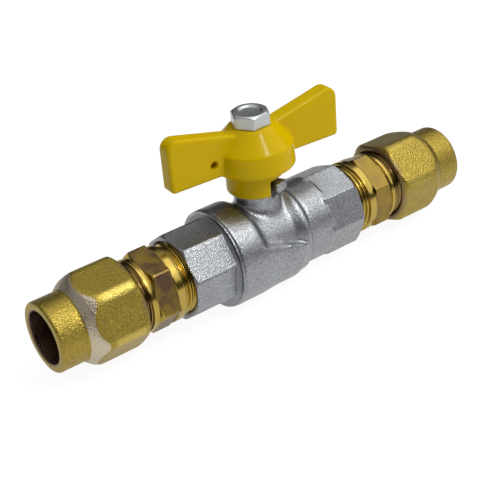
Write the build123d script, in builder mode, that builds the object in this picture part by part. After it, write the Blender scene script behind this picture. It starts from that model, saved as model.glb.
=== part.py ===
"""Gas ball valve with a butterfly handle and a compression fitting at each end.

Row frame, in mm: the origin is the centre of the left pipe socket's mouth, +X runs
along the pipe to the right-hand end and +Z runs up along the stem, away from the pipe.
"""
import os
from math import cos, radians, sin, sqrt

from build123d import *

os.makedirs("parts", exist_ok=True)

# Overall layout along the pipe
half_length = 72.0
x_ball = half_length
pipe_radius = 7.5
pipe_clearance = 0.08
socket_radius = pipe_radius + pipe_clearance
fit_clearance = 0.05
stop_gap = 0.3

# Ball and the chamber around it
ball_radius = 10.5
bore_radius = 6.6
chamber_radius = 11.0
slot_width = 3.8
slot_floor = 7.6

# Seat rings of PTFE
seat_outer_radius = 9.7
seat_inner_radius = 6.9
seat_back = 9.4
seat_front = 6.1
seat_clearance = 0.03
seat_pocket_radius = seat_outer_radius + fit_clearance

# Body, distances along the pipe are from the ball's centre
rim_radius = 14.7
rim_start = 16.4
rim_end = 7.6
saddle_depth = 1.8
saddle_radius = rim_radius - saddle_depth
saddle_fall = 0.8
saddle_start = 6.6
saddle_end = 4.4
ledge_high = 5.6
ledge_low = 1.9
barrel_step = 0.4
barrel_radius = rim_radius - barrel_step
barrel_start = 2.0
barrel_end = 4.7
ridge_step = 1.2
ridge_radius = rim_radius - ridge_step
ridge_start = 7.7
core_radius = 8.0
ridge_end = 9.0
groove_x = 10.2
groove_radius = 12.2
neck_radius = 12.45
wrench_start = 17.4
wrench_end = 30.0
wrench_across_flats = 24.0
wrench_chamfer = 0.9

# Pipe thread of the adapters, drawn as its plain outer cylinder
gas_thread_radius = 10.45
gas_socket_radius = gas_thread_radius + fit_clearance
gas_socket_depth = 11.5

# End cap
cap_face = 31.0
cap_phase = 29.8
cap_flange_start = 19.6
cap_thread_radius = 12.25
cap_thread_end = 10.7
cap_nose_radius = chamber_radius - 0.1
cap_nose_end = 6.8
gasket_thickness = 0.5
chamber_start = cap_thread_end - gasket_thickness
ring_groove_depth = 1.5
ring_groove_inner = 11.9
ring_groove_outer = 13.2

# Stem boss, stop lug and stem
boss_base_radius = 6.5
boss_flare = 0.9
boss_base_top = 16.3
boss_radius = 6.3
boss_top = 21.0
lug_centre_angle = -75.0
lug_half_angle = 14.0
lug_inner_radius = 5.6
lug_outer_radius = 9.8
lug_top = 20.8
lug_foot = 17.4
stem_radius = 4.6
stem_hole_radius = stem_radius + fit_clearance
stem_head_radius = 6.0
stem_head_bottom = ball_radius + 0.2
stem_head_height = 1.6
washer_thickness = 0.9
washer_top = stem_head_bottom + stem_head_height + washer_thickness
tang_width = 3.6
tang_length = 9.0
tang_bottom = slot_floor + 0.2
ring_groove_radius = 3.6
ring_height = 1.5
ring_level_lower = 14.2
ring_level_middle = 16.6
ring_level_upper = 19.0
flats_start = 22.4
flats_across = 7.4
stem_top = 32.0
tapped_depth = 9.0

# Handle
handle_rest_deg = -4.0
handle_travel = 90.0
skirt_radius = 8.3
skirt_inner_radius = 6.9
skirt_bottom = 17.0
skirt_roof = 22.4
window_top = 21.7
drum_bottom = 24.5
drum_top = 31.0
drum_bottom_radius = 11.9
drum_top_radius = 11.5
hub_top = 36.6
hub_top_radius = 6.6
wing_span = 55.8
wing_thickness = 5.2
wing_bottom = 25.0
wing_root_top = 35.4
wing_tip_top = 41.0
wing_tip_radius = 3.2
wing_foot_radius = 1.2
wing_root = 4.0
wing_edge_radius = 0.9
seal_hole_x = -14.1
seal_hole_z = 29.3
seal_hole_radius = 1.15

# Handle screw, M6 with a hexagon head
screw_radius = 3.0
screw_clearance_radius = 3.3
screw_head_across_flats = 10.0
screw_head_height = 4.0
screw_head_phase = 3.5
screw_dish_radius = 3.5
screw_dish_depth = 0.5
screw_tip = 25.0

# Adapter, distances along the pipe are from the ball's centre
adapter_inner_end = 20.4
adapter_hex_start = 36.3
adapter_hex_end = 41.8
adapter_across_flats = 21.0
adapter_left_phase = 12.0
adapter_right_phase = 32.8
shoulder_ring_start = 32.9
shoulder_ring_end = 34.2
shoulder_ring_radius = 10.95
hex_collar_start = 35.0
hex_collar_radius = 11.2
relief_radius = 10.0
nut_thread_radius = 10.2
nut_ring_end = 43.2
nut_ring_radius = 10.75
adapter_outer_end = 57.5
pipe_stop = 46.0

# Compression ring, with a 45 degree cone at each end
olive_radius = 9.2
olive_end_radius = 8.0
olive_start = 56.3
olive_end = 62.5

# Compression nut, distances along the pipe are from the ball's centre
nut_mouth = 46.2
nut_hex_end = 59.6
nut_across_flats = 24.0
nut_corner_rounding = 2.0
nut_left_phase = 10.8
nut_right_phase = 44.2
nut_mouth_radius = 11.35
nut_bore_radius = nut_thread_radius + fit_clearance
collar_radius = 10.1
collar_start = 63.5
collar_edge = 0.9

pipe_axis = Axis.X
stem_axis = Axis((x_ball, 0, 0), (0, 0, 1))
mid_plane = Plane.YZ.offset(x_ball)


def at(distance):
    """Position along the pipe for a distance from the ball's centre, left is negative."""
    return x_ball + distance


def ring_profile(points):
    """Closed profile of (distance from the ball's centre, radius) pairs."""
    return [(at(x), r) for x, r in points]


def corner_radius(across_flats, sides):
    """Distance from the centre to a corner of a regular polygon."""
    return across_flats / 2 / cos(radians(180 / sides))


def radial_plane(angle):
    """Upright plane through the stem axis, its X is the radius and its Y is the height."""
    a = radians(angle)
    return Plane(
        origin=(x_ball, 0, 0),
        x_dir=(cos(a), sin(a), 0),
        z_dir=(sin(a), -cos(a), 0),
    )


def across_plane(angle):
    """Plane through the ball's centre, square to the direction at this angle from the pipe."""
    a = radians(angle)
    return Plane(origin=(x_ball, 0, 0), x_dir=(-sin(a), cos(a), 0), z_dir=(cos(a), sin(a), 0))


wrench_corner_radius = corner_radius(wrench_across_flats, 8)
handle_plane = radial_plane(handle_rest_deg)
stem_plane = radial_plane(0)

# Hollow beside the stem, bounded by the rim, the ridge and a sloping ledge on each side
with BuildPart() as saddle_cut:
    with BuildSketch(Plane.XY):
        with BuildLine():
            Polyline(
                *ring_profile(
                    [
                        (-rim_end - 1.2, rim_radius + 1),
                        (-rim_end - 1.2, rim_radius),
                        (-rim_end - 0.3, rim_radius - 0.3),
                        (-rim_end + 0.35, rim_radius - 1.0),
                        (-saddle_start, saddle_radius),
                        (saddle_end, saddle_radius - saddle_fall),
                        (ridge_start, ridge_radius + 0.05),
                        (ridge_start, rim_radius + 1),
                    ]
                ),
                close=True,
            )
        make_face()
    revolve(axis=pipe_axis)
    ledge_run = saddle_end + saddle_start
    split(
        bisect_by=Plane(
            origin=(at(saddle_end), 0, ledge_low),
            x_dir=(0, 1, 0),
            z_dir=(ledge_high - ledge_low, 0, ledge_run),
        ),
        keep=Keep.TOP,
    )

# Body, one brass forging with the right-hand wrench end, the stem boss and the stop lug
with BuildPart() as body:
    with BuildSketch(Plane.XY):
        with BuildLine():
            Polyline(
                *ring_profile(
                    [
                        (-rim_start, 0),
                        (-rim_start, rim_radius - 0.5),
                        (-rim_start + 0.5, rim_radius),
                        (-rim_end, rim_radius),
                        (-barrel_start, barrel_radius),
                        (barrel_end, barrel_radius),
                        (ridge_start, ridge_radius),
                        (ridge_end - 0.3, ridge_radius),
                        (ridge_end + 0.4, ridge_radius - 0.8),
                        (groove_x, groove_radius),
                        (groove_x + 0.5, neck_radius),
                        (wrench_start + 1, neck_radius),
                        (wrench_start + 1, 0),
                    ]
                ),
                close=True,
            )
        make_face()
    revolve(axis=pipe_axis)
    add(saddle_cut.part, mode=Mode.SUBTRACT)
    # Octagonal wrench end, its corners turned off at the mouth
    with BuildSketch(Plane.YZ.offset(at(wrench_start))):
        RegularPolygon(wrench_corner_radius, 8)
    extrude(amount=wrench_end - wrench_start)
    with BuildSketch(Plane.XY):
        with BuildLine():
            Polyline(
                *ring_profile(
                    [
                        (wrench_end - wrench_chamfer, wrench_corner_radius + 0.1),
                        (wrench_end, wrench_corner_radius - wrench_chamfer),
                        (wrench_end + 1, wrench_corner_radius - wrench_chamfer),
                        (wrench_end + 1, wrench_corner_radius + 1),
                        (wrench_end - wrench_chamfer, wrench_corner_radius + 1),
                    ]
                ),
                close=True,
            )
        make_face()
    revolve(axis=pipe_axis, mode=Mode.SUBTRACT)
    # Round stem boss on a wider base
    with BuildSketch(stem_plane):
        with BuildLine():
            Polyline(
                (0, core_radius),
                (boss_base_radius + boss_flare, core_radius),
                (boss_base_radius + boss_flare, saddle_radius - 2.2),
                (boss_base_radius + boss_flare / 3, saddle_radius - 1.2),
                (boss_base_radius, saddle_radius + 0.2),
                (boss_base_radius, boss_base_top - 0.2),
                (boss_radius, boss_base_top),
                (boss_radius, boss_top),
                (0, boss_top),
                close=True,
            )
        make_face()
    revolve(axis=stem_axis)
    # Stop lug that stands in the window of the handle's skirt
    with BuildSketch(radial_plane(lug_centre_angle - lug_half_angle)):
        with BuildLine():
            Polyline(
                (lug_inner_radius, lug_foot - 2),
                (boss_radius, lug_foot - 2),
                (lug_outer_radius - 0.9, lug_foot),
                (lug_outer_radius, lug_foot + 0.9),
                (lug_outer_radius, lug_top - 0.5),
                (lug_outer_radius - 0.5, lug_top),
                (lug_inner_radius, lug_top),
                close=True,
            )
        make_face()
    revolve(axis=stem_axis, revolution_arc=2 * lug_half_angle)
    # Threaded opening, ball chamber, seat pocket, bore and female pipe thread
    with BuildSketch(Plane.XY):
        with BuildLine():
            Polyline(
                *ring_profile(
                    [
                        (-rim_start - 1, 0),
                        (-rim_start - 1, ring_groove_outer),
                        (-rim_start + ring_groove_depth, ring_groove_outer),
                        (-rim_start + ring_groove_depth, cap_thread_radius + fit_clearance),
                        (-chamber_start, cap_thread_radius + fit_clearance),
                        (-chamber_start, chamber_radius),
                        (seat_front + 0.4, chamber_radius),
                        (seat_front + 0.4, seat_pocket_radius),
                        (seat_back, seat_pocket_radius),
                        (seat_back, bore_radius),
                        (wrench_end - gas_socket_depth - 1, bore_radius),
                        (wrench_end - gas_socket_depth, gas_socket_radius),
                        (wrench_end - 0.7, gas_socket_radius),
                        (wrench_end, gas_socket_radius + 0.7),
                        (wrench_end + 1, gas_socket_radius + 0.7),
                        (wrench_end + 1, 0),
                    ]
                ),
                close=True,
            )
        make_face()
    revolve(axis=pipe_axis, mode=Mode.SUBTRACT)
    # Pocket for the stem's head below the stem hole
    with BuildSketch(stem_plane):
        with BuildLine():
            Polyline(
                (0, 0),
                (stem_head_radius + 0.2, 0),
                (stem_head_radius + 0.2, washer_top),
                (stem_hole_radius, washer_top),
                (stem_hole_radius, boss_top - 0.4),
                (stem_hole_radius + 0.4, boss_top),
                (stem_hole_radius + 0.4, boss_top + 1),
                (0, boss_top + 1),
                close=True,
            )
        make_face()
    revolve(axis=stem_axis, mode=Mode.SUBTRACT)

# End cap, screwed into the body's left opening, with an octagonal wrench end
cap_corner_radius = corner_radius(wrench_across_flats, 8)
with BuildPart() as end_cap:
    with BuildSketch(Plane.YZ.offset(at(-cap_face))):
        RegularPolygon(cap_corner_radius, 8, rotation=cap_phase)
    extrude(amount=cap_face - cap_flange_start + 1)
    with BuildSketch(Plane.XY):
        with BuildLine():
            Polyline(
                *ring_profile(
                    [
                        (-cap_face - 1, cap_corner_radius - wrench_chamfer),
                        (-cap_face, cap_corner_radius - wrench_chamfer),
                        (-cap_face + wrench_chamfer, cap_corner_radius + 0.1),
                        (-cap_face + wrench_chamfer, cap_corner_radius + 1),
                        (-cap_face - 1, cap_corner_radius + 1),
                    ]
                ),
                close=True,
            )
        make_face()
    revolve(axis=pipe_axis, mode=Mode.SUBTRACT)
    # Flange against the body's rim, then the relief, the thread and the nose
    with BuildSketch(Plane.XY):
        with BuildLine():
            Polyline(
                *ring_profile(
                    [
                        (-cap_flange_start - 1.2, 0),
                        (-cap_flange_start - 1.2, wrench_across_flats / 2),
                        (-cap_flange_start - 0.2, wrench_across_flats / 2 + 0.5),
                        (-cap_flange_start + 0.2, rim_radius - 0.8),
                        (-cap_flange_start + 0.9, rim_radius - 0.1),
                        (-cap_flange_start + 1.5, rim_radius),
                        (-rim_start - 0.5, rim_radius),
                        (-rim_start, rim_radius - 0.5),
                        (-rim_start, ring_groove_inner),
                        (-rim_start + ring_groove_depth, ring_groove_inner),
                        (-rim_start + ring_groove_depth + 0.3, cap_thread_radius),
                        (-cap_thread_end, cap_thread_radius),
                        (-cap_thread_end, cap_nose_radius),
                        (-cap_nose_end, cap_nose_radius),
                        (-cap_nose_end, 0),
                    ]
                ),
                close=True,
            )
        make_face()
    revolve(axis=pipe_axis)
    with BuildSketch(Plane.XY):
        with BuildLine():
            Polyline(
                *ring_profile(
                    [
                        (-cap_face - 1, 0),
                        (-cap_face - 1, gas_socket_radius + 0.7),
                        (-cap_face, gas_socket_radius + 0.7),
                        (-cap_face + 0.7, gas_socket_radius),
                        (-cap_face + gas_socket_depth, gas_socket_radius),
                        (-cap_face + gas_socket_depth + 1, bore_radius),
                        (-seat_back, bore_radius),
                        (-seat_back, seat_pocket_radius),
                        (-cap_nose_end + 1, seat_pocket_radius),
                        (-cap_nose_end + 1, 0),
                    ]
                ),
                close=True,
            )
        make_face()
    revolve(axis=pipe_axis, mode=Mode.SUBTRACT)

# O-ring in the corner between the cap and the body
ring_section = (ring_groove_outer - ring_groove_inner) / 2
with BuildPart() as cap_o_ring:
    with BuildSketch(Plane.XY):
        with Locations((at(-rim_start + ring_groove_depth / 2), ring_groove_inner + ring_section)):
            Circle(ring_section - 0.01)
    revolve(axis=pipe_axis)

# Flat graphite ring at the end of the cap's thread
with BuildPart() as cap_graphite_ring:
    with BuildSketch(Plane.YZ.offset(at(-cap_thread_end))):
        Circle(cap_thread_radius - 0.05)
        Circle(chamber_radius, mode=Mode.SUBTRACT)
    extrude(amount=gasket_thickness)

# Ball with its bore and the slot for the stem's tang across the bore
with BuildPart() as ball:
    with Locations((x_ball, 0, 0)):
        Sphere(ball_radius)
    with BuildSketch(across_plane(handle_rest_deg)):
        Circle(bore_radius)
    extrude(amount=ball_radius + 1, both=True, mode=Mode.SUBTRACT)
    with BuildSketch(handle_plane):
        with Locations((0, slot_floor + 2)):
            Rectangle(slot_width, 4)
    extrude(amount=ball_radius + 1, both=True, mode=Mode.SUBTRACT)

# Seat rings, turned to the ball's sphere on their inner face
seat_sphere = ball_radius + seat_clearance
with BuildPart() as seat_right:
    with BuildSketch(Plane.XY):
        with BuildLine():
            lip = sqrt(seat_sphere**2 - seat_inner_radius**2)
            rim = sqrt(seat_sphere**2 - seat_front**2)
            middle = radians(45)
            ThreePointArc(
                (at(lip), seat_inner_radius),
                (at(seat_sphere * sin(middle)), seat_sphere * cos(middle)),
                (at(seat_front), rim),
            )
            Polyline(
                (at(seat_front), rim),
                (at(seat_front), seat_outer_radius),
                (at(seat_back), seat_outer_radius),
                (at(seat_back), seat_inner_radius),
                (at(lip), seat_inner_radius),
            )
        make_face()
    revolve(axis=pipe_axis)
seat_left = mirror(seat_right.part, about=mid_plane)

# Stem, put in from inside the body, with a tang below its head and two flats at its top
with BuildPart() as stem:
    with BuildSketch(stem_plane):
        with BuildLine():
            Polyline(
                (0, stem_head_bottom),
                (stem_head_radius, stem_head_bottom),
                (stem_head_radius, stem_head_bottom + stem_head_height),
                (stem_radius, stem_head_bottom + stem_head_height),
                (stem_radius, stem_top - 0.5),
                (stem_radius - 0.5, stem_top),
                (0, stem_top),
                close=True,
            )
        make_face()
        for level in (ring_level_lower, ring_level_middle, ring_level_upper):
            with Locations((stem_radius, level + ring_height / 2)):
                Rectangle(2 * (stem_radius - ring_groove_radius), ring_height, mode=Mode.SUBTRACT)
    revolve(axis=stem_axis)
    with BuildSketch(handle_plane):
        with Locations((0, (tang_bottom + stem_head_bottom + 0.5) / 2)):
            Rectangle(tang_width, stem_head_bottom + 0.5 - tang_bottom)
    extrude(amount=tang_length / 2, both=True)
    for side in (-1, 1):
        with BuildSketch(handle_plane):
            with Locations((side * (flats_across / 2 + 2), (flats_start + stem_top + 1) / 2)):
                Rectangle(4, stem_top + 1 - flats_start)
        extrude(amount=stem_radius + 1, both=True, mode=Mode.SUBTRACT)
    with BuildSketch(Plane.XY.offset(stem_top)):
        with Locations((x_ball, 0)):
            Circle(screw_radius + 0.02)
    extrude(amount=-tapped_depth, mode=Mode.SUBTRACT)

# PTFE washer under which the stem's head turns
with BuildPart() as stem_thrust_washer:
    with BuildSketch(Plane.XY.offset(washer_top - washer_thickness)):
        with Locations((x_ball, 0)):
            Circle(stem_head_radius)
            Circle(stem_radius + 0.1, mode=Mode.SUBTRACT)
    extrude(amount=washer_thickness)


def stem_ring(level, square):
    """Ring in one of the stem's grooves, round like an O-ring or square like a packing."""
    with BuildPart() as ring:
        with BuildSketch(stem_plane):
            middle = (ring_groove_radius + stem_radius) / 2
            with Locations((middle, level + ring_height / 2)):
                if square:
                    Rectangle(stem_radius - ring_groove_radius, ring_height)
                else:
                    Ellipse((stem_radius - ring_groove_radius) / 2, ring_height / 2 - 0.1)
        revolve(axis=stem_axis)
    return ring.part


stem_o_ring_lower = stem_ring(ring_level_lower, False)
stem_graphite_ring = stem_ring(ring_level_middle, True)
stem_o_ring_upper = stem_ring(ring_level_upper, False)

# Handle, one casting of hub, skirt and two wings, stored as the photograph shows it
window_start = lug_centre_angle - lug_half_angle - 57.3 * stop_gap / skirt_radius
window_end = lug_centre_angle + lug_half_angle + 57.3 * stop_gap / skirt_radius + handle_travel
with BuildPart() as handle:
    # Both wings as one plate, its tops rise outward and its outer corners are rounded
    with BuildSketch(handle_plane):
        with BuildLine():
            Polyline(
                (-wing_span / 2, wing_bottom),
                (wing_span / 2, wing_bottom),
                (wing_span / 2, wing_tip_top),
                (wing_root, wing_root_top),
                (-wing_root, wing_root_top),
                (-wing_span / 2, wing_tip_top),
                close=True,
            )
        make_face()
        fillet(vertices().filter_by(lambda v: v.Y > wing_root_top + 1), radius=wing_tip_radius)
        fillet(vertices().filter_by(lambda v: v.Y < wing_bottom + 1), radius=wing_foot_radius)
    extrude(amount=wing_thickness / 2, both=True)
    sides = handle.faces().filter_by(Axis((0, 0, 0), handle_plane.z_dir))
    fillet(sides.edges(), radius=wing_edge_radius)
    # Hub, drum and skirt turned about the stem
    with BuildSketch(stem_plane):
        with BuildLine():
            Polyline(
                (0, skirt_bottom),
                (skirt_radius - 0.25, skirt_bottom),
                (skirt_radius, skirt_bottom + 0.25),
                (skirt_radius, drum_bottom),
                (drum_bottom_radius - 0.5, drum_bottom),
                (drum_bottom_radius, drum_bottom + 0.5),
                (drum_top_radius, drum_top),
                (hub_top_radius, hub_top - 0.4),
                (hub_top_radius - 0.6, hub_top),
                (0, hub_top),
                close=True,
            )
        make_face()
    revolve(axis=stem_axis)
    # Hollow skirt, the hole that fits the stem's flats and the clearance for the screw
    with BuildSketch(Plane.XY.offset(skirt_bottom)):
        with Locations((x_ball, 0)):
            Circle(skirt_inner_radius)
    extrude(amount=skirt_roof - skirt_bottom, mode=Mode.SUBTRACT)
    with BuildSketch(Plane.XY.offset(skirt_roof)):
        with Locations(Location((x_ball, 0, 0), (0, 0, handle_rest_deg))):
            Circle(stem_radius + fit_clearance)
            Rectangle(flats_across + 2 * fit_clearance, 3 * stem_radius, mode=Mode.INTERSECT)
    extrude(amount=stem_top + 0.3 - skirt_roof, mode=Mode.SUBTRACT)
    with BuildSketch(Plane.XY.offset(stem_top)):
        with Locations((x_ball, 0)):
            Circle(screw_clearance_radius)
    extrude(amount=hub_top - stem_top + 1, mode=Mode.SUBTRACT)
    # Window in the skirt whose ends meet the body's lug at open and at closed
    with BuildSketch(radial_plane(window_start + handle_rest_deg)):
        with BuildLine():
            Polyline(
                (skirt_inner_radius - 0.5, skirt_bottom - 1),
                (skirt_radius + 0.5, skirt_bottom - 1),
                (skirt_radius + 0.5, window_top),
                (skirt_inner_radius - 0.5, window_top),
                close=True,
            )
        make_face()
    revolve(axis=stem_axis, revolution_arc=window_end - window_start, mode=Mode.SUBTRACT)
    # Hole for a sealing wire
    with BuildSketch(handle_plane):
        with Locations((seal_hole_x, seal_hole_z)):
            Circle(seal_hole_radius)
    extrude(amount=wing_thickness, both=True, mode=Mode.SUBTRACT)

# Handle screw with a dished hexagon head
with BuildPart() as handle_screw:
    with BuildSketch(Plane.XY.offset(hub_top)):
        with Locations((x_ball, 0)):
            RegularPolygon(corner_radius(screw_head_across_flats, 6), 6, rotation=screw_head_phase)
    extrude(amount=screw_head_height)
    screw_top = hub_top + screw_head_height
    chamfer_start = corner_radius(screw_head_across_flats, 6) + 0.1
    with BuildSketch(stem_plane):
        with BuildLine():
            Polyline(
                (screw_head_across_flats / 2 - 0.4, screw_top),
                (chamfer_start, screw_top - 0.75),
                (chamfer_start + 1, screw_top - 0.75),
                (chamfer_start + 1, screw_top + 1),
                (screw_head_across_flats / 2 - 0.4, screw_top + 1),
                close=True,
            )
        make_face()
    revolve(axis=stem_axis, mode=Mode.SUBTRACT)
    with BuildSketch(stem_plane):
        with BuildLine():
            Polyline(
                (0, screw_top - screw_dish_depth),
                (screw_dish_radius - 0.5, screw_top - screw_dish_depth),
                (screw_dish_radius, screw_top),
                (screw_dish_radius, screw_top + 1),
                (0, screw_top + 1),
                close=True,
            )
        make_face()
    revolve(axis=stem_axis, mode=Mode.SUBTRACT)
    with BuildSketch(stem_plane):
        with BuildLine():
            Polyline(
                (0, screw_tip),
                (screw_radius - 0.5, screw_tip),
                (screw_radius, screw_tip + 0.5),
                (screw_radius, hub_top + 1),
                (0, hub_top + 1),
                close=True,
            )
        make_face()
    revolve(axis=stem_axis)

# Adapter, male pipe thread on the valve's side and compression thread on the pipe's side
adapter_corner_radius = corner_radius(adapter_across_flats, 6)
cone_run = olive_radius - socket_radius
with BuildPart() as adapter_left:
    with BuildSketch(Plane.YZ.offset(at(-adapter_hex_end))):
        RegularPolygon(adapter_corner_radius, 6, rotation=adapter_left_phase)
    extrude(amount=adapter_hex_end - adapter_hex_start)
    # Corners of the hexagon turned off on the nut's side
    with BuildSketch(Plane.XY):
        with BuildLine():
            Polyline(
                *ring_profile(
                    [
                        (-adapter_hex_end - 1, adapter_across_flats / 2 - 0.2),
                        (-adapter_hex_end, adapter_across_flats / 2 - 0.2),
                        (-adapter_hex_end + 1.2, adapter_corner_radius + 0.1),
                        (-adapter_hex_end + 1.2, adapter_corner_radius + 1),
                        (-adapter_hex_end - 1, adapter_corner_radius + 1),
                    ]
                ),
                close=True,
            )
        make_face()
    revolve(axis=pipe_axis, mode=Mode.SUBTRACT)
    # Turned collars, relief and the two threads
    with BuildSketch(Plane.XY):
        with BuildLine():
            Polyline(
                *ring_profile(
                    [
                        (-adapter_outer_end, 0),
                        (-adapter_outer_end, nut_thread_radius - 0.6),
                        (-adapter_outer_end + 0.6, nut_thread_radius),
                        (-nut_ring_end - 0.4, nut_thread_radius),
                        (-nut_ring_end, nut_ring_radius),
                        (-adapter_hex_end + 1, nut_ring_radius),
                        (-adapter_hex_start - 1, hex_collar_radius),
                        (-hex_collar_start - 0.3, hex_collar_radius),
                        (-hex_collar_start, hex_collar_radius - 0.3),
                        (-hex_collar_start, relief_radius),
                        (-shoulder_ring_end, relief_radius),
                        (-shoulder_ring_end, shoulder_ring_radius - 0.25),
                        (-shoulder_ring_end + 0.25, shoulder_ring_radius),
                        (-shoulder_ring_start - 0.25, shoulder_ring_radius),
                        (-shoulder_ring_start, gas_thread_radius),
                        (-adapter_inner_end - 0.8, gas_thread_radius),
                        (-adapter_inner_end, gas_thread_radius - 0.8),
                        (-adapter_inner_end, 0),
                    ]
                ),
                close=True,
            )
        make_face()
    revolve(axis=pipe_axis)
    # Bore, pipe socket and the cone that holds the compression ring
    with BuildSketch(Plane.XY):
        with BuildLine():
            Polyline(
                *ring_profile(
                    [
                        (-adapter_outer_end - 1, 0),
                        (-adapter_outer_end - 1, olive_radius),
                        (-adapter_outer_end, olive_radius),
                        (-adapter_outer_end + cone_run, socket_radius),
                        (-pipe_stop, socket_radius),
                        (-pipe_stop, bore_radius),
                        (-adapter_inner_end + 1, bore_radius),
                        (-adapter_inner_end + 1, 0),
                    ]
                ),
                close=True,
            )
        make_face()
    revolve(axis=pipe_axis, mode=Mode.SUBTRACT)

# Compression ring that grips the pipe between the adapter's cone and the nut's cone
cone_start = adapter_outer_end - (olive_radius - olive_end_radius)
cone_end = olive_end - (olive_radius - olive_end_radius)
with BuildPart() as olive_left:
    with BuildSketch(Plane.XY):
        with BuildLine():
            Polyline(
                *ring_profile(
                    [
                        (-olive_end, socket_radius),
                        (-olive_end, olive_end_radius),
                        (-cone_end, olive_radius),
                        (-adapter_outer_end, olive_radius),
                        (-cone_start, olive_end_radius),
                        (-cone_start, socket_radius),
                    ]
                ),
                close=True,
            )
        make_face()
    revolve(axis=pipe_axis)

# Compression nut, a hexagon with rounded forged corners and a long round collar
nut_corner = corner_radius(nut_across_flats, 6)
nut_cone_start = cone_end - (nut_bore_radius - olive_radius)
with BuildPart() as nut_left:
    with BuildSketch(Plane.YZ.offset(at(-collar_start))):
        RegularPolygon(nut_corner, 6, rotation=nut_left_phase)
        fillet(vertices(), radius=nut_corner_rounding)
    extrude(amount=collar_start - nut_mouth)
    # Domed shoulder towards the collar and a turned chamfer at the mouth
    with BuildSketch(Plane.XY):
        with BuildLine():
            mouth = Line((at(-nut_mouth), 0), (at(-nut_mouth), nut_mouth_radius))
            bevel = Line(mouth @ 1, (at(-nut_mouth - 1.5), nut_corner + 0.1))
            side = Line(bevel @ 1, (at(-nut_hex_end + 2.5), nut_corner + 0.1))
            shoulder = Spline(
                side @ 1,
                (at(-nut_hex_end - 1.6), nut_corner - 1.55),
                (at(-collar_start), collar_radius + 0.9),
            )
            back = Line(shoulder @ 1, (at(-collar_start), 0))
            Line(back @ 1, mouth @ 0)
        make_face()
    revolve(axis=pipe_axis, mode=Mode.INTERSECT)
    with BuildSketch(Plane.XY):
        with BuildLine():
            Polyline(
                *ring_profile(
                    [
                        (-half_length, 0),
                        (-half_length, collar_radius - collar_edge),
                        (-half_length + 0.25, collar_radius - 0.35),
                        (-half_length + collar_edge, collar_radius),
                        (-collar_start - 0.5, collar_radius),
                        (-collar_start, collar_radius + 0.4),
                        (-collar_start + 0.5, collar_radius + 0.4),
                        (-collar_start + 0.5, 0),
                    ]
                ),
                close=True,
            )
        make_face()
    revolve(axis=pipe_axis)
    # Thread, the cone over the compression ring and the hole for the pipe
    with BuildSketch(Plane.XY):
        with BuildLine():
            Polyline(
                *ring_profile(
                    [
                        (-nut_mouth + 1, 0),
                        (-nut_mouth + 1, nut_ring_radius + 0.25),
                        (-nut_mouth, nut_ring_radius + 0.25),
                        (-nut_mouth - 0.7, nut_bore_radius),
                        (-nut_cone_start, nut_bore_radius),
                        (-cone_end, olive_radius),
                        (-cone_end - cone_run, socket_radius),
                        (-half_length + 0.3, socket_radius),
                        (-half_length, socket_radius + 0.3),
                        (-half_length - 1, socket_radius + 0.3),
                        (-half_length - 1, 0),
                    ]
                ),
                close=True,
            )
        make_face()
    revolve(axis=pipe_axis, mode=Mode.SUBTRACT)

# The right-hand fitting is the left one seen in a mirror, each hexagon at its own angle
adapter_turn = adapter_right_phase - adapter_left_phase
nut_turn = nut_right_phase - nut_left_phase
adapter_right = mirror(adapter_left.part, about=mid_plane).rotate(pipe_axis, adapter_turn)
olive_right = mirror(olive_left.part, about=mid_plane)
nut_right = mirror(nut_left.part, about=mid_plane).rotate(pipe_axis, nut_turn)

pieces = {
    "body": body.part,
    "end_cap": end_cap.part,
    "cap_o_ring": cap_o_ring.part,
    "cap_graphite_ring": cap_graphite_ring.part,
    "ball": ball.part,
    "seat_ring_left": seat_left,
    "seat_ring_right": seat_right.part,
    "stem": stem.part,
    "stem_thrust_washer": stem_thrust_washer.part,
    "stem_o_ring_lower": stem_o_ring_lower,
    "stem_graphite_ring": stem_graphite_ring,
    "stem_o_ring_upper": stem_o_ring_upper,
    "handle": handle.part,
    "handle_screw": handle_screw.part,
    "adapter_left": adapter_left.part,
    "adapter_right": adapter_right,
    "compression_ring_left": olive_left.part,
    "compression_ring_right": olive_right,
    "nut_left": nut_left.part,
    "nut_right": nut_right,
}
for name, piece in pieces.items():
    piece.label = name
    export_step(piece, "parts/" + name + ".step")
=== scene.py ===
"""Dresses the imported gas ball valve: finer pieces, real finishes, a pale stage and a camera."""

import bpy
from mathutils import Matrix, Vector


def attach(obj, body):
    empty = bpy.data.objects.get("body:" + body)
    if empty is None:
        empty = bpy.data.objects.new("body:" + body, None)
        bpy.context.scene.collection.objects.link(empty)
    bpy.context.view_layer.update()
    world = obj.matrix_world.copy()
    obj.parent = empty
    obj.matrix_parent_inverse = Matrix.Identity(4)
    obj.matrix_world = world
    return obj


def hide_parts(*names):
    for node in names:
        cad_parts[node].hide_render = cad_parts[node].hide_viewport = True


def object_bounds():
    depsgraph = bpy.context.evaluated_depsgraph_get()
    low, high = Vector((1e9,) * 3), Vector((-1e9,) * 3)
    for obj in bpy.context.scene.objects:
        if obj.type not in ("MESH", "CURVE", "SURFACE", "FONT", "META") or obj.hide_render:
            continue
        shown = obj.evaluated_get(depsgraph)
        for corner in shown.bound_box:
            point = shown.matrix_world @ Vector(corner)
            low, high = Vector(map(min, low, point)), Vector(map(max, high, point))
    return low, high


bl_info = {
    "name": "Gas Ball Valve Dressing",
    "version": (1, 0, 0),
    "blender": (4, 5, 0),
    "location": "3D View > Sidebar > Gas Valve",
    "description": "Builds the visible pieces, finishes and stage of a gas ball valve",
    "category": "Object",
}

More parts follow.
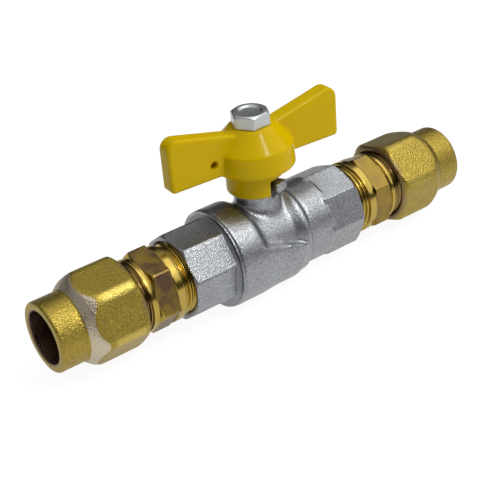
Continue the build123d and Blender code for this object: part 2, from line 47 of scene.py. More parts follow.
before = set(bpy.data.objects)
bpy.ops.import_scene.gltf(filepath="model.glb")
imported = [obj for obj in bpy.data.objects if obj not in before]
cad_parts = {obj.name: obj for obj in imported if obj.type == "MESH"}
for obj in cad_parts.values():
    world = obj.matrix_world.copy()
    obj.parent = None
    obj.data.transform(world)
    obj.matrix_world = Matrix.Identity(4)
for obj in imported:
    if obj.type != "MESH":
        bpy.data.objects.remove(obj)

import math

import bmesh
import bpy
import numpy as np
from bpy.props import FloatProperty, IntProperty, PointerProperty, StringProperty
from mathutils import Matrix

cad_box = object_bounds()
MM = 0.001
# Centre of the ball along the pipe, in mm from the left socket's mouth.
# Outlines are drawn from there in mm, for the left end, and mirrored for the right one.
BALL_X = 72.0
LEFT = 1
RIGHT = -1


# Settings a user would change

class ValveSizes(bpy.types.PropertyGroup):
    """Sizes of the visible pieces."""

    nut_across_flats: FloatProperty(
        name="Nut Across Flats",
        description="Wrench size of the compression nuts",
        default=0.024,
        precision=5,
        unit="LENGTH",
    )
    nut_corner: FloatProperty(
        name="Nut Corner",
        description="Rounding of the forged hexagon's corners",
        default=0.0036,
        precision=5,
        unit="LENGTH",
    )
    adapter_across_flats: FloatProperty(
        name="Adapter Across Flats",
        description="Wrench size of the adapters",
        default=0.021,
        precision=5,
        unit="LENGTH",
    )
    cap_across_flats: FloatProperty(
        name="Cap Across Flats",
        description="Wrench size of the end cap's octagon",
        default=0.024,
        precision=5,
        unit="LENGTH",
    )
    gas_thread_pitch: FloatProperty(
        name="Gas Thread Pitch",
        description="Pitch of the half-inch gas thread",
        default=0.001814,
        precision=5,
        unit="LENGTH",
    )
    nut_thread_pitch: FloatProperty(
        name="Nut Thread Pitch",
        description="Pitch of the compression thread",
        default=0.0015,
        precision=5,
        unit="LENGTH",
    )
    casting_voxel: FloatProperty(
        name="Casting Detail",
        description="Smallest detail kept when a casting is softened",
        default=0.00034,
        precision=5,
        unit="LENGTH",
    )


class ValveColours(bpy.types.PropertyGroup):
    """Colours of the finishes, as sRGB hex values."""

    plating: StringProperty(
        name="Plating",
        description="Nickel plating of the body and cap",
        default="#B1B3B5",
    )
    forged_brass: StringProperty(
        name="Forged Brass",
        description="Blasted brass of the nuts",
        default="#B8A247",
    )
    turned_brass: StringProperty(
        name="Turned Brass",
        description="Bright brass of the adapters",
        default="#BDA755",
    )
    handle_paint: StringProperty(
        name="Handle Paint",
        description="Yellow paint of the handle",
        default="#CFAF00",
    )
    zinc: StringProperty(
        name="Zinc",
        description="Zinc plating of the screw",
        default="#CDD0CF",
    )


class ValveStage(bpy.types.PropertyGroup):
    """Camera, light and fineness of the turned pieces."""

    lens: FloatProperty(
        name="Lens",
        description="Focal length on a 36 mm sensor",
        default=87.78,
        unit="CAMERA",
    )
    softbox_power: FloatProperty(
        name="Softbox Power",
        description="Power of the box above and in front",
        default=3.0,
        unit="POWER",
    )
    window_power: FloatProperty(
        name="Window Power",
        description="Power of the small bright window",
        default=0.85,
        unit="POWER",
    )
    segments: IntProperty(
        name="Segments",
        description="Steps round a turned piece",
        default=216,
    )


# Small helpers

def linear(hex_colour):
    """sRGB hex colour as linear RGBA."""
    parts = [int(hex_colour[i:i + 2], 16) / 255 for i in (1, 3, 5)]
    light = [c / 12.92 if c <= 0.04045 else ((c + 0.055) / 1.055) ** 2.4 for c in parts]
    return (*light, 1.0)


def add_node(tree, kind, settings=None, inputs=None):
    """Adds one node, with its settings and with a value or a link for each input."""
    made = tree.nodes.new(kind)
    for name, value in (settings or {}).items():
        setattr(made, name, value)
    for name, value in (inputs or {}).items():
        if isinstance(value, bpy.types.NodeSocket):
            tree.links.new(value, made.inputs[name])
        else:
            made.inputs[name].default_value = value
    return made


def new_finish(name):
    """Empty node material with a Principled shader, and its position in millimetres."""
    material = bpy.data.materials.new(name)
    material.use_nodes = True
    tree = material.node_tree
    tree.nodes.clear()
    shader = add_node(tree, "ShaderNodeBsdfPrincipled")
    add_node(tree, "ShaderNodeOutputMaterial", None, {"Surface": shader.outputs["BSDF"]})
    place = add_node(tree, "ShaderNodeTexCoord").outputs["Object"]
    in_mm = {"Vector": place, "Scale": (1 / MM, 1 / MM, 1 / MM)}
    mm = add_node(tree, "ShaderNodeMapping", None, in_mm)
    return material, tree, shader, mm.outputs["Vector"]


def noise(tree, mm, size, detail):
    """Noise whose lumps are about a size in mm."""
    settings = {"Vector": mm, "Scale": 1 / size, "Detail": detail}
    return add_node(tree, "ShaderNodeTexNoise", None, settings).outputs["Fac"]


def shade(tree, name):
    """A value that a piece carries by point."""
    return add_node(tree, "ShaderNodeAttribute", {"attribute_name": name}).outputs["Fac"]


def spread(tree, value, low, high, start=0.3, end=0.7):
    """A value between start and end, spread over low to high."""
    span = {"Value": value, "From Min": start, "From Max": end, "To Min": low, "To Max": high}
    return add_node(tree, "ShaderNodeMapRange", None, span).outputs["Result"]


def mix(tree, share, first, second):
    """Mix of two colours, each a hex value or a link."""
    first, second = (linear(c) if isinstance(c, str) else c for c in (first, second))
    colours = {"Factor": share, 6: first, 7: second}
    return add_node(tree, "ShaderNodeMix", {"data_type": "RGBA"}, colours).outputs[2]


def reckon(tree, operation, *values):
    """Result of a sum on values or links."""
    inputs = dict(enumerate(values))
    return add_node(tree, "ShaderNodeMath", {"operation": operation}, inputs).outputs[0]


def emboss(tree, shader, height, strength, distance):
    """Bump from a height, over a distance in metres."""
    relief = {"Height": height, "Strength": strength, "Distance": distance}
    bump = add_node(tree, "ShaderNodeBump", None, relief)
    tree.links.new(bump.outputs["Normal"], shader.inputs["Normal"])


def finish_with(obj, material):
    """Gives an object one material."""
    obj.data.materials.clear()
    obj.data.materials.append(material)


def polygon_radius(theta, across, sides, rounding, corner_deg):
    """Distance from the axis to a regular polygon with rounded corners, at each angle."""
    half = math.pi / sides
    flat = np.abs((theta - math.radians(corner_deg)) % (2 * half) - half)
    apothem = across / 2
    to_corner = half - flat
    centre = (apothem - rounding) / math.cos(half)
    tangent = math.atan((apothem - rounding) * math.tan(half) / apothem)
    inside = np.maximum(rounding**2 - (centre * np.sin(to_corner)) ** 2, 0)
    arc = centre * np.cos(to_corner) + np.sqrt(inside)
    return np.where(flat <= tangent, apothem / np.cos(flat), arc)


def rise(values, start, width):
    """0 up to a start, then a straight climb to 1 over a width."""
    return np.clip((values - start) / width, 0, 1)


def fall(values, end, width):
    """A straight drop from 1 to 0 over the width before an end."""
    return np.clip((end - values) / width, 0, 1)


def soft_min(a, b, sharpness):
    """Smaller of two radii with a rounded change between them."""
    low = np.minimum(a, b)
    return low - np.log1p(np.exp(-sharpness * np.abs(a - b))) / sharpness


def rounded_outline(points, step, bore=0.0):
    """Closed outline of (along, radius, rounding) corners, rounded.

    Each run is divided in steps, other than inside the bore's radius, which nobody sees.
    """
    corners = [np.array(p[:2], float) for p in points]
    out = []
    count = len(corners)
    for i in range(count):
        before = corners[i - 1]
        here = corners[i]
        after = corners[(i + 1) % count]
        rounding = points[i][2]
        back = before - here
        ahead = after - here
        back_length = np.linalg.norm(back)
        ahead_length = np.linalg.norm(ahead)
        back = back / back_length
        ahead = ahead / ahead_length
        reach = 0.0
        if rounding > 0:
            angle = math.acos(max(-1, min(1, float(back @ ahead))))
            longest = 0.48 * min(back_length, ahead_length)
            reach = min(rounding / math.tan(angle / 2), longest)
        if reach > 1e-4:
            start = here + back * reach
            end = here + ahead * reach
            for t in np.linspace(0, 1, 6):
                out.append((1 - t) ** 2 * start + 2 * t * (1 - t) * here + t**2 * end)
        else:
            out.append(here)
    fine = []
    for i, point in enumerate(out):
        ahead = out[(i + 1) % len(out)] - point
        in_bore = max(point[1], point[1] + ahead[1]) < bore
        parts = 1 if in_bore else max(1, int(math.ceil(np.linalg.norm(ahead) / step)))
        for k in range(parts):
            fine.append(point + ahead * k / parts)
    return np.array(fine)


def turned_mesh(name, along, radii, theta, shades):
    """Closed mesh from radii: a row for each point of the outline, a column for each angle.

    The shades are values by point, which the finish reads by name.
    """
    rows, columns = radii.shape
    c = np.cos(theta)[None, :] * radii
    s = np.sin(theta)[None, :] * radii
    x = np.repeat(along[:, None], columns, axis=1)
    points = np.stack([BALL_X + x, c, s], axis=-1)
    vertices = points.reshape(-1, 3) * MM
    row = np.arange(rows)[:, None]
    column = np.arange(columns)[None, :]
    next_row = (row + 1) % rows
    next_column = (column + 1) % columns
    quads = np.stack(
        [
            row * columns + column,
            row * columns + next_column,
            next_row * columns + next_column,
            next_row * columns + column,
        ],
        axis=-1,
    ).reshape(-1, 4)
    mesh = bpy.data.meshes.new(name)
    mesh.from_pydata(vertices.tolist(), [], quads.tolist())
    for label, values in shades.items():
        layer = mesh.attributes.new(label, "FLOAT", "POINT")
        by_point = np.broadcast_to(values, radii.shape)
        layer.data.foreach_set("value", by_point.astype(np.float32).ravel())
    tidy = bmesh.new()
    tidy.from_mesh(mesh)
    bmesh.ops.remove_doubles(tidy, verts=tidy.verts, dist=1e-7)
    bmesh.ops.recalc_face_normals(tidy, faces=tidy.faces)
    tidy.to_mesh(mesh)
    tidy.free()
    mesh.polygons.foreach_set("use_smooth", [True] * len(mesh.polygons))
    obj = bpy.data.objects.new(name, mesh)
    bpy.context.collection.objects.link(obj)
    return obj


def angles():
    """Angles round a turned piece."""
    count = bpy.context.scene.valve_stage.segments
    return np.linspace(0, 2 * math.pi, count, endpoint=False)


def apply_modifiers(obj, name):
    """Turns an object's modifiers into its mesh."""
    depsgraph = bpy.context.evaluated_depsgraph_get()
    baked = bpy.data.meshes.new_from_object(obj.evaluated_get(depsgraph))
    obj.modifiers.clear()
    obj.data = baked
    baked.name = name


def soften_where(obj, weights, passes):
    """Smooths a mesh more where the weights, from 0 to 1, are high."""
    levels = 10
    group = obj.vertex_groups.new(name="soft")
    for level in range(1, levels + 1):
        chosen = np.flatnonzero(np.ceil(weights * levels) == level)
        group.add(chosen.tolist(), level / levels, "REPLACE")
    smooth = obj.modifiers.new("Soften", "SMOOTH")
    smooth.factor = 0.5
    smooth.iterations = passes
    smooth.vertex_group = "soft"
    apply_modifiers(obj, obj.name)
    obj.vertex_groups.clear()


def casting_places(obj):
    """Vertex places from the ball's centre in mm, and a weight that leaves out the pipe's bore."""
    flat = np.zeros(len(obj.data.vertices) * 3)
    obj.data.vertices.foreach_get("co", flat)
    x, y, z = (flat.reshape(-1, 3) / MM).T
    outside = rise(np.hypot(y, z), 11.0, 0.3)
    return x - BALL_X, y, z, outside


def softened_casting(node_name, name, voxel, passes):
    """Copy of a CAD node's solid, remeshed and smoothed so that its edges look cast."""
    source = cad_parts[node_name]
    obj = bpy.data.objects.new(name, source.data.copy())
    bpy.context.collection.objects.link(obj)
    remesh = obj.modifiers.new("Remesh", "REMESH")
    remesh.mode = "VOXEL"
    remesh.voxel_size = voxel
    remesh.use_smooth_shade = True
    smooth = obj.modifiers.new("Smooth", "SMOOTH")
    smooth.factor = 0.5
    smooth.iterations = passes
    apply_modifiers(obj, name)
    obj.data.polygons.foreach_set("use_smooth", [True] * len(obj.data.polygons))
    return obj


def add_box_lamp(name, size, power, target, away, distance):
    """Rectangular lamp that faces a target from a direction."""
    light = bpy.data.lights.new(name, "AREA")
    light.shape = "RECTANGLE"
    light.size, light.size_y = size
    light.energy = power
    lamp = bpy.data.objects.new(name, light)
    bpy.context.collection.objects.link(lamp)
    away = np.array(away) / np.linalg.norm(away)
    position = np.array(target) + distance * away
    side = np.cross([0, 1, 0.4], away)
    side = side / np.linalg.norm(side)
    up = np.cross(away, side)
    rows = [[side[i], up[i], away[i], position[i]] for i in range(3)]
    lamp.matrix_world = Matrix(rows + [[0, 0, 0, 1]])


# Finishes

def blasted_plating():
    """Nickel plating on a blasted forging: grey metal whose fine grain spreads each highlight."""
    material, tree, shader, mm = new_finish("nickel plating on blasted brass forging")
    colours = bpy.context.scene.valve_colours
    shader.inputs["Metallic"].default_value = 1.0
    # Grit of about 0.1 mm is too fine to show, so the grain is drawn at 0.3 mm
    grain = noise(tree, mm, 0.3, 0.0)
    patches = noise(tree, mm, 6.0, 2.0)
    tint = mix(tree, patches, "#9FA1A3", colours.plating)
    speckled = mix(tree, spread(tree, grain, 0.0, 0.7, 0.35, 0.65), tint, "#6C6E73")
    # The step up to the cap's flange was left as cast: paler and rougher
    cast = shade(tree, "cast")
    tree.links.new(mix(tree, cast, speckled, "#B4B6B9"), shader.inputs["Base Color"])
    gloss = spread(tree, grain, 0.28, 0.38)
    tree.links.new(reckon(tree, "MULTIPLY_ADD", cast, 0.35, gloss), shader.inputs["Roughness"])
    emboss(tree, shader, grain, 0.42, 0.0002)
    return material


def blasted_brass():
    """Forged brass, blasted and left bare: matte, grainy and olive, with a greyer dome on one nut.
    """
    material, tree, shader, mm = new_finish("blasted bare brass forging")
    colours = bpy.context.scene.valve_colours
    shader.inputs["Metallic"].default_value = 1.0
    # Blasting grit of 0.2 mm, drawn at 0.33 mm so that it shows
    grain = noise(tree, mm, 0.33, 0.0)
    patches = noise(tree, mm, 4.0, 3.0)
    tint = mix(tree, patches, "#9E883F", colours.forged_brass)
    speckled = mix(tree, spread(tree, grain, 0.0, 0.5, 0.35, 0.65), tint, "#7C6A30")
    # The dome of the left nut is drawn greyer
    grey_dome_share = spread(tree, shade(tree, "shoulder"), 0.0, 0.85)
    greyed = mix(tree, grey_dome_share, speckled, "#CBBFAB")
    # Corners that tumbling rubs bright, with a painted highlight where the softbox above is
    # mirrored
    wear_and_highlight = mix(tree, shade(tree, "wear_and_highlight"), greyed, "#D0BC62")
    browned = mix(tree, shade(tree, "oxide"), wear_and_highlight, "#7A625A")
    tree.links.new(browned, shader.inputs["Base Color"])
    tree.links.new(spread(tree, grain, 0.34, 0.46), shader.inputs["Roughness"])
    emboss(tree, shader, grain, 0.7, 0.0002)
    return material


def turned_brass():
    """Brass bar turned on a lathe: bright, with the fine rings that the tool leaves."""
    material, tree, shader, mm = new_finish("turned bright brass bar")
    colours = bpy.context.scene.valve_colours
    shader.inputs["Metallic"].default_value = 1.0
    turned = mix(tree, noise(tree, mm, 3.0, 2.0), "#A88B42", colours.turned_brass)
    # The flats are the drawn bar's own skin: duller, and stained by heat and handling
    stains = spread(tree, noise(tree, mm, 5.0, 3.0), 0.0, 1.0, 0.4, 0.6)
    stained = reckon(tree, "MULTIPLY", stains, shade(tree, "stained"))
    drawn = shade(tree, "drawn")
    dull = mix(tree, drawn, turned, mix(tree, stained, "#937C3A", "#6F5745"))
    # Oxide stays in the recesses
    browned = mix(tree, shade(tree, "oxide"), dull, "#5C463C")
    tree.links.new(browned, shader.inputs["Base Color"])
    tree.links.new(spread(tree, drawn, 0.2, 0.4, 0.0, 1.0), shader.inputs["Roughness"])
    # Tool marks 0.25 mm apart along the pipe axis
    parts = add_node(tree, "ShaderNodeSeparateXYZ", None, {"Vector": mm})
    phase = reckon(tree, "MULTIPLY", parts.outputs["X"], 2 * math.pi / 0.25)
    emboss(tree, shader, reckon(tree, "SINE", phase), 0.25, 0.000004)
    return material


def handle_paint():
    """Die-cast handle, sprayed with a thick glossy yellow paint that has a slight orange peel."""
    material, tree, shader, mm = new_finish("glossy yellow paint on die casting")
    colours = bpy.context.scene.valve_colours
    shader.inputs["IOR"].default_value = 1.5
    shader.inputs["Specular IOR Level"].default_value = 0.09
    tint = mix(tree, noise(tree, mm, 9.0, 2.0), "#C6A500", colours.handle_paint)
    tree.links.new(tint, shader.inputs["Base Color"])
    peel = noise(tree, mm, 1.3, 2.0)
    tree.links.new(spread(tree, peel, 0.1, 0.18), shader.inputs["Roughness"])
    emboss(tree, shader, peel, 0.2, 0.00005)
    return material


def plain_finish(name, low_colour, high_colour, metallic, roughness, grain_mm, depth):
    """Finish of a small or hidden piece: two near shades, a fine grain and a varied gloss."""
    material, tree, shader, mm = new_finish(name)
    shader.inputs["Metallic"].default_value = metallic
    grain = noise(tree, mm, grain_mm, 3.0)
    tree.links.new(mix(tree, grain, low_colour, high_colour), shader.inputs["Base Color"])
    gloss = spread(tree, grain, roughness - 0.05, roughness + 0.05)
    tree.links.new(gloss, shader.inputs["Roughness"])
    emboss(tree, shader, grain, 0.3, depth)
    return material


# Pieces

class VALVE_OT_forged_nuts(bpy.types.Operator):
    """Builds the two compression nuts as forgings with rounded corners and a domed shoulder"""

    bl_idname = "gas_valve.forged_nuts"
    bl_label = "Forged Nuts"

    def execute(self, context):
        sizes = context.scene.valve_sizes
        material = blasted_brass()
        theta = angles()
        outline = rounded_outline(
            [
                # Mouth towards the adapter and its chamfer
                (-46.2, 10.95, 0.1),
                (-46.2, 11.5, 0.25),
                (-47.9, 13.9, 0.6),
                # Corners of the hexagon, which is cut out of this outline
                (-49.5, 14.6, 0.0),
                (-57.2, 14.6, 2.5),
                # Dome down to the collar
                (-61.6, 12.2, 1.6),
                (-63.4, 10.7, 0.8),
                (-64.2, 10.1, 0.5),
                # Collar and the mouth for the pipe
                (-72.0, 10.1, 0.9),
                (-72.0, 7.95, 0.2),
                (-71.7, 7.6, 0.1),
                # Cone that presses the ring, and the thread's bore
                (-62.9, 7.6, 0.0),
                (-60.25, 10.25, 0.1),
                (-47.0, 10.25, 0.2),
            ],
            step=0.5,
        )
        along = outline[:, 0][:, None]
        limit = outline[:, 1][:, None]
        # How the hexagon is turned in degrees, how grey its shoulder is, and how bright its worn
        # corners and their painted highlight are
        for side, turned, greyed, wear_and_highlight_strength, node in (
            (LEFT, 10.8, 1.0, 1.0, "nut_left"),
            (RIGHT, 44.2, 0.0, 0.3, "nut_right"),
        ):
            across = sizes.nut_across_flats / MM
            hexagon = polygon_radius(theta, across, 6, sizes.nut_corner / MM, turned)[None, :]
            radii = np.where(limit < 10.6, limit, soft_min(limit, hexagon, 4.0))
            # The dome between hexagon and collar
            shoulder = greyed * rise(hexagon - limit, -0.25, 0.5) * rise(limit, 10.2, 0.3)
            shoulder = np.where(along < -50, shoulder, 0)
            # Oxide in the bore, and weaker on the chamfer round its mouth
            bore = (limit < 8) | ((limit < 10.3) & (along > -63))
            chamfer = 0.75 * rise(along, -48.2, 0.9) * fall(radii, 12.5, 0.8)
            oxide = np.where(bore, 0.9, chamfer)
            # Tumbling rubs the corners bright, and a painted highlight adds to that, strongest on
            # the upper front corner where the softbox is mirrored and strongest on the left nut
            flank = rise(along, -58.6, 1.5) * fall(along, -47.9, 1.0) * (limit > 12)
            toward_softbox = 0.6 + 0.4 * np.cos(theta - math.radians(131))[None, :]
            wear_and_highlight = 0.8 * wear_and_highlight_strength * toward_softbox * flank * rise(hexagon, 12.98, 0.25)
            shades = {"shoulder": shoulder, "oxide": oxide, "wear_and_highlight": wear_and_highlight}
            piece = turned_mesh("forged_" + node, outline[:, 0] * side, radii, theta, shades)
            finish_with(piece, material)
            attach(piece, node + "_group")
            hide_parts(node)
        return {"FINISHED"}


class VALVE_OT_adapters(bpy.types.Operator):
    """Builds the two turned brass adapters with their threads"""

    bl_idname = "gas_valve.adapters"
    bl_label = "Adapters"

    def execute(self, context):
        sizes = context.scene.valve_sizes
        material = turned_brass()
        theta = angles()
        outline = rounded_outline(
            [
                # Compression thread
                (-57.5, 9.2, 0.05),
                (-57.5, 9.5, 0.1),
                (-56.9, 10.15, 0.1),
                (-44.4, 10.15, 0.1),
                # Narrow collar and neck
                (-44.2, 10.7, 0.2),
                (-43.2, 10.7, 0.2),
                (-43.1, 10.3, 0.05),
                # Hexagon with a chamfer, and the collar behind it
                (-42.5, 10.45, 0.1),
                (-41.6, 12.1, 0.2),
                (-36.3, 12.3, 0.1),
                (-36.3, 11.1, 0.05),
                (-33.9, 11.1, 0.5),
                # Gas thread
                (-33.6, 10.3, 0.1),
                (-33.3, 10.4, 0.1),
                (-21.2, 10.4, 0.1),
                (-20.4, 9.6, 0.1),
                # Bore, wider from the pipe's stop on
                (-20.4, 6.65, 0.1),
                (-46.0, 6.65, 0.1),
                (-46.0, 7.6, 0.1),
                (-55.9, 7.6, 0.1),
            ],
            step=0.15,
            bore=9.0,
        )
        along = outline[:, 0][:, None]
        limit = outline[:, 1][:, None]
        turn = theta[None, :] / (2 * math.pi)
        # How the hexagon is turned in degrees, and how stained its flats are
        for side, turned, stained, node in (
            (LEFT, 12.0, 1.0, "adapter_left"),
            (RIGHT, 32.8, 0.35, "adapter_right"),
        ):
            across = sizes.adapter_across_flats / MM
            hexagon = polygon_radius(theta, across, 6, 0.25, turned)[None, :]
            in_hexagon = (along > -42.9) & (along < -36.2) & (limit > 10.35)
            radii = np.where(in_hexagon, soft_min(limit, hexagon, 9.0), limit)
            # Threads cut below the outside radius, rounded at crest and root
            for pitch, start, end, depth in (
                (sizes.nut_thread_pitch / MM, -56.9, -44.5, 0.75),
                (sizes.gas_thread_pitch / MM, -33.4, -21.2, 0.95),
            ):
                wave = 0.5 - 0.5 * np.cos(2 * math.pi * (along * side / pitch + turn))
                fade = rise(along, start, 0.8) * fall(along, end, 0.8)
                threaded = (along > start) & (along < end) & (limit > 9.9)
                radii = np.where(threaded, radii - depth * wave * fade, radii)
            drawn = np.where(in_hexagon, rise(limit - hexagon, -0.15, 0.3), 0)
            oxide = np.where((along < -44.3) & (limit > 9.5), 0.6, 0.0)
            shades = {"drawn": drawn, "oxide": oxide, "stained": stained}
            piece = turned_mesh("turned_" + node, outline[:, 0] * side, radii, theta, shades)
            finish_with(piece, material)
            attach(piece, "valve")
            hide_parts(node)
        return {"FINISHED"}


class VALVE_OT_body(bpy.types.Operator):
    """Softens the forged body and plates it"""

    bl_idname = "gas_valve.body"
    bl_label = "Body"

    def execute(self, context):
        voxel = context.scene.valve_sizes.casting_voxel
        piece = softened_casting("body", "plated_body", voxel, 3)

        # The dies leave wide roundings round the hollow
        x, y, z, outside = casting_places(piece)
        hollow = rise(x, -9.0, 0.6) * fall(x, 8.6, 0.6) * rise(z, 0.0, 2.0)
        clear_of_boss = rise(np.hypot(x, y), 6.0, 0.4) * fall(z, 15.2, 0.5)
        soften_where(piece, hollow * outside * clear_of_boss, 8)

        # And wider ones at the foot of the boss, 7.2 mm from its axis
        x, y, z, outside = casting_places(piece)
        foot = np.clip(1.6 - np.abs(np.hypot(x, y) - 7.2) / 1.8, 0, 1)
        soften_where(piece, foot * outside * fall(z, 15.0, 1.0) * (z > 5), 54)

        # The left half of the ledge under the hollow is washed out
        x, y, z, outside = casting_places(piece)
        ledge = rise(x, -8.0, 1.5) * fall(x, 0.8, 1.5) * rise(z, 0.0, 1.0) * fall(z, 9.5, 1.5)
        soften_where(piece, ledge * outside, 70)

        finish_with(piece, blasted_plating())
        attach(piece, "valve")
        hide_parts("body")
        return {"FINISHED"}


class VALVE_OT_cap(bpy.types.Operator):
    """Builds the end cap with its octagon, a thin flange and a rounded ring at the seam"""

    bl_idname = "gas_valve.cap"
    bl_label = "End Cap"

    def execute(self, context):
        theta = angles()
        outline = rounded_outline(
            [
                # Mouth for the adapter and its chamfer, then the octagon
                (-31.0, 11.2, 0.1),
                (-31.0, 12.1, 0.2),
                (-30.1, 13.3, 0.2),
                # Close rows, in which the facets run out into the step up to the flange
                (-17.6, 13.3, 0.0),
                (-17.45, 13.3, 0.0),
                (-17.3, 13.3, 0.0),
                (-17.25, 13.6, 0.0),
                (-17.2, 13.6, 0.0),
                (-17.15, 13.6, 0.0),
                (-17.1, 13.6, 0.0),
                (-17.05, 13.65, 0.05),
                # Groove and rounded ring at the seam
                (-17.03, 13.4, 0.0),
                (-16.98, 13.4, 0.0),
                (-16.96, 14.5, 0.15),
                (-16.46, 14.62, 0.1),
                (-16.45, 14.2, 0.05),
                (-16.4, 14.2, 0.05),
                # Thread and spigot inside the body, then the bore
                (-16.4, 11.9, 0.0),
                (-14.9, 11.9, 0.0),
                (-14.6, 12.25, 0.0),
                (-10.7, 12.25, 0.1),
                (-10.7, 10.9, 0.0),
                (-6.8, 10.9, 0.1),
                (-6.8, 9.75, 0.1),
                (-9.4, 9.75, 0.0),
                (-9.4, 6.6, 0.1),
                (-18.5, 6.6, 0.0),
                (-19.5, 10.5, 0.0),
                (-30.3, 10.5, 0.0),
            ],
            step=0.3,
            bore=10.6,
        )
        along = outline[:, 0][:, None]
        limit = outline[:, 1][:, None]
        across = context.scene.valve_sizes.cap_across_flats / MM
        octagon = polygon_radius(theta, across, 8, 0.9, 29.8)[None, :]
        # The facets rise a little before the step up to the flange
        share = np.interp(along, (-17.6, -17.3, -17.05), (1.0, 0.95, 0.0))
        outside = limit > 12.6
        # Behind the chamfer the outline stands well clear of the octagon
        faceted = soft_min(limit + 2 * (along > -29.5), octagon, 12.0)
        stepped = share * faceted + (1 - share) * limit
        radii = np.where((along < -17.04) & outside, stepped, limit)
        chamfered = (along < -30.0) & (limit > 11.5)
        radii = np.where(chamfered, soft_min(limit, octagon, 12.0), radii)
        cast = rise(along, -17.4, 0.1) * fall(along, -17.03, 0.02) * outside
        piece = turned_mesh("plated_end_cap", outline[:, 0], radii, theta, {"cast": cast})
        finish_with(piece, blasted_plating())
        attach(piece, "valve")
        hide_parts("end_cap")
        return {"FINISHED"}


class VALVE_OT_handle(bpy.types.Operator):
    """Softens the die-cast handle, paints it and finishes its screw"""

    bl_idname = "gas_valve.handle"
    bl_label = "Handle"

    def execute(self, context):
        voxel = context.scene.valve_sizes.casting_voxel
        piece = softened_casting("handle", "cast_handle", voxel, 3)
        finish_with(piece, handle_paint())
        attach(piece, "handle_group")
        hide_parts("handle")

        # Zinc plating is pale and satin, a little uneven. The small screw keeps finer detail.
        high = context.scene.valve_colours.zinc
        zinc = plain_finish(
            "zinc plating on cold-headed steel", "#B0B2B2", high, 1.0, 0.38, 1.1, 0.00015
        )
        screw = softened_casting("handle_screw", "zinc_handle_screw", 0.18 * MM, 3)
        finish_with(screw, zinc)
        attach(screw, "handle_group")
        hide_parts("handle_screw")
        return {"FINISHED"}


class VALVE_OT_inner_pieces(bpy.types.Operator):
    """Finishes the ball, seats, stem, seals and compression rings"""

    bl_idname = "gas_valve.inner_pieces"
    bl_label = "Inner Pieces"

    def execute(self, context):
        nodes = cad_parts
        # Chrome is nearly a mirror, PTFE white and waxy, rubber black, graphite dark with a sheen
        chrome = plain_finish(
            "polished hard chrome on brass", "#CFD1D3", "#DADCDD", 1.0, 0.1, 2.0, 0.000001
        )
        ptfe = plain_finish("turned PTFE", "#E6E6E1", "#F1F1EC", 0.0, 0.4, 0.6, 0.00001)
        rubber = plain_finish("moulded black rubber", "#161616", "#222222", 0.0, 0.5, 0.5, 0.00001)
        graphite = plain_finish("pressed graphite", "#2C2C2D", "#414142", 0.2, 0.45, 0.3, 0.00002)
        brass = turned_brass()
        for name, material in (
            ("ball", chrome),
            ("seat_ring_left", ptfe),
            ("seat_ring_right", ptfe),
            ("stem_thrust_washer", ptfe),
            ("stem", brass),
            ("compression_ring_left", brass),
            ("compression_ring_right", brass),
            ("cap_o_ring", rubber),
            ("stem_o_ring_lower", rubber),
            ("stem_o_ring_upper", rubber),
            ("cap_graphite_ring", graphite),
            ("stem_graphite_ring", graphite),
        ):
            finish_with(nodes[name], material)
        return {"FINISHED"}


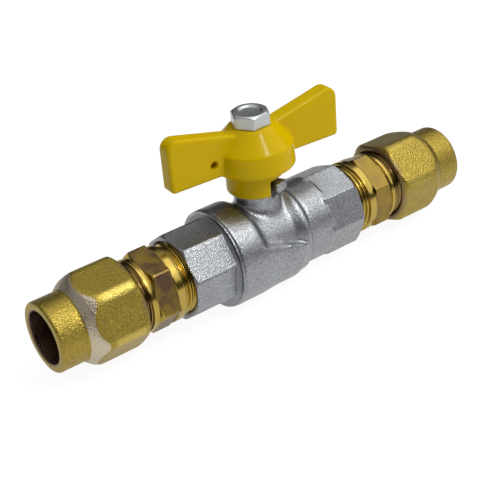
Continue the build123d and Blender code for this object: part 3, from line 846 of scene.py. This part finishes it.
class VALVE_OT_stage(bpy.types.Operator):
    """Sets the camera, the softbox, the surroundings and a pale floor"""

    bl_idname = "gas_valve.stage"
    bl_label = "Stage"

    def execute(self, context):
        scene = context.scene
        stage = scene.valve_stage
        scene.view_settings.view_transform = "Standard"

        # Camera fitted to the photograph: its place in metres, and its three directions
        camera = bpy.data.objects.new("camera", bpy.data.cameras.new("camera"))
        context.collection.objects.link(camera)
        camera.data.sensor_width = 36.0
        camera.data.lens = stage.lens
        camera.data.clip_start = 0.01
        right = (0.78912, -0.60939, -0.07731)
        down = (-0.36304, -0.36114, -0.85896)
        ahead = (0.49551, 0.70586, -0.5062)
        place = (-0.10106, -0.23648, 0.17187)
        rows = [[right[i], -down[i], -ahead[i], place[i]] for i in range(3)]
        camera.matrix_world = Matrix(rows + [[0, 0, 0, 1]])
        scene.camera = camera

        # Lamps: size in metres, power, target, direction and distance
        target = (BALL_X * MM, 0.0, 0.01)
        # Big box above and slightly in front, which the upper facets mirror
        above = (0.5, -0.36, 0.79)
        add_box_lamp("softbox above", (0.8, 0.95), stage.softbox_power, target, above, 0.6)
        # Small bright window, seen as the narrow highlight down the paint of the hub
        in_front = (0.186, -0.555, 0.81)
        add_box_lamp("small window", (0.08, 0.14), stage.window_power, target, in_front, 0.6)
        # Weak fill from the left, mirrored by the faces that look along the pipe
        from_left = (-1.0, -0.05, 0.22)
        add_box_lamp("fill from the left", (0.6, 0.28), 0.22, target, from_left, 0.7)

        world = bpy.data.worlds.new("studio surroundings")
        scene.world = world
        world.use_nodes = True
        tree = world.node_tree
        tree.nodes.clear()
        direction = add_node(tree, "ShaderNodeTexCoord").outputs["Generated"]
        parts = add_node(tree, "ShaderNodeSeparateXYZ", None, {"Vector": direction})
        ramp = add_node(tree, "ShaderNodeValToRGB", None, {"Fac": parts.outputs["Z"]})
        # By the sine of the height: darkest at 30 degrees, then paler, nearly white straight above
        steps = ramp.color_ramp.elements
        steps[0].position = 0.0
        steps[0].color = linear("#3C3C40")
        steps[1].position = 1.0
        steps[1].color = linear("#EEEEEE")
        steps.new(0.5).color = linear("#2A2B2E")
        steps.new(0.63).color = linear("#8A8C90")
        sky = {"Color": ramp.outputs["Color"], "Strength": 1.0}
        around = add_node(tree, "ShaderNodeBackground", None, sky)
        plain_white = {"Color": (1, 1, 1, 1), "Strength": 1.0}
        white = add_node(tree, "ShaderNodeBackground", None, plain_white)
        seen = add_node(tree, "ShaderNodeLightPath").outputs["Is Camera Ray"]
        layers = {0: seen, 1: around.outputs[0], 2: white.outputs[0]}
        mixed = add_node(tree, "ShaderNodeMixShader", None, layers)
        add_node(tree, "ShaderNodeOutputWorld", None, {"Surface": mixed.outputs[0]})

        # Pale floor just under the lowest point, white to the camera with a light shadow
        mesh = bpy.data.meshes.new("floor")
        low = cad_box[0][2] - 0.5 * MM
        size = 1.5
        corners = [(-size, -size, low), (size, -size, low), (size, size, low), (-size, size, low)]
        mesh.from_pydata(corners, [], [(0, 1, 2, 3)])
        floor = bpy.data.objects.new("floor", mesh)
        context.collection.objects.link(floor)
        # Matte paper that glows by how it is seen: nearly white to the camera, half in the metal
        paper = bpy.data.materials.new("white paper sweep")
        paper.use_nodes = True
        tree = paper.node_tree
        tree.nodes.clear()
        matte = add_node(tree, "ShaderNodeBsdfDiffuse", None, {"Color": (0.85, 0.85, 0.85, 1)})
        white_light = {"Color": (1, 1, 1, 1), "Strength": 1.15}
        glow = add_node(tree, "ShaderNodeEmission", None, white_light)
        ray = add_node(tree, "ShaderNodeLightPath").outputs
        share = reckon(tree, "MULTIPLY", ray["Is Camera Ray"], 0.8)
        share = reckon(tree, "MULTIPLY_ADD", ray["Is Glossy Ray"], 0.52, share)
        share = reckon(tree, "MULTIPLY_ADD", ray["Is Diffuse Ray"], 0.34, share)
        layers = {0: share, 1: matte.outputs[0], 2: glow.outputs[0]}
        mixed = add_node(tree, "ShaderNodeMixShader", None, layers)
        add_node(tree, "ShaderNodeOutputMaterial", None, {"Surface": mixed.outputs[0]})
        mesh.materials.append(paper)
        return {"FINISHED"}


class VALVE_PT_panel(bpy.types.Panel):
    """Lists the steps that dress the valve"""

    bl_idname = "VALVE_PT_panel"
    bl_label = "Gas Valve"
    bl_space_type = "VIEW_3D"
    bl_region_type = "UI"
    bl_category = "Gas Valve"

    def draw(self, context):
        layout = self.layout
        scene = context.scene
        for group in (scene.valve_sizes, scene.valve_colours, scene.valve_stage):
            box = layout.box()
            for name in group.bl_rna.properties.keys():
                if name not in ("rna_type", "name"):
                    box.prop(group, name)
        for operator in OPERATORS:
            layout.operator(operator.bl_idname)


OPERATORS = (
    VALVE_OT_stage,
    VALVE_OT_inner_pieces,
    VALVE_OT_forged_nuts,
    VALVE_OT_adapters,
    VALVE_OT_body,
    VALVE_OT_cap,
    VALVE_OT_handle,
)
CLASSES = (ValveSizes, ValveColours, ValveStage) + OPERATORS + (VALVE_PT_panel,)


def register():
    for cls in CLASSES:
        bpy.utils.register_class(cls)
    bpy.types.Scene.valve_sizes = PointerProperty(type=ValveSizes)
    bpy.types.Scene.valve_colours = PointerProperty(type=ValveColours)
    bpy.types.Scene.valve_stage = PointerProperty(type=ValveStage)


def unregister():
    del bpy.types.Scene.valve_stage
    del bpy.types.Scene.valve_colours
    del bpy.types.Scene.valve_sizes
    for cls in reversed(CLASSES):
        bpy.utils.unregister_class(cls)


def main():
    register()
    bpy.ops.gas_valve.stage()
    bpy.ops.gas_valve.inner_pieces()
    bpy.ops.gas_valve.forged_nuts()
    bpy.ops.gas_valve.adapters()
    bpy.ops.gas_valve.body()
    bpy.ops.gas_valve.cap()
    bpy.ops.gas_valve.handle()


if __name__ == "__main__":
    main()
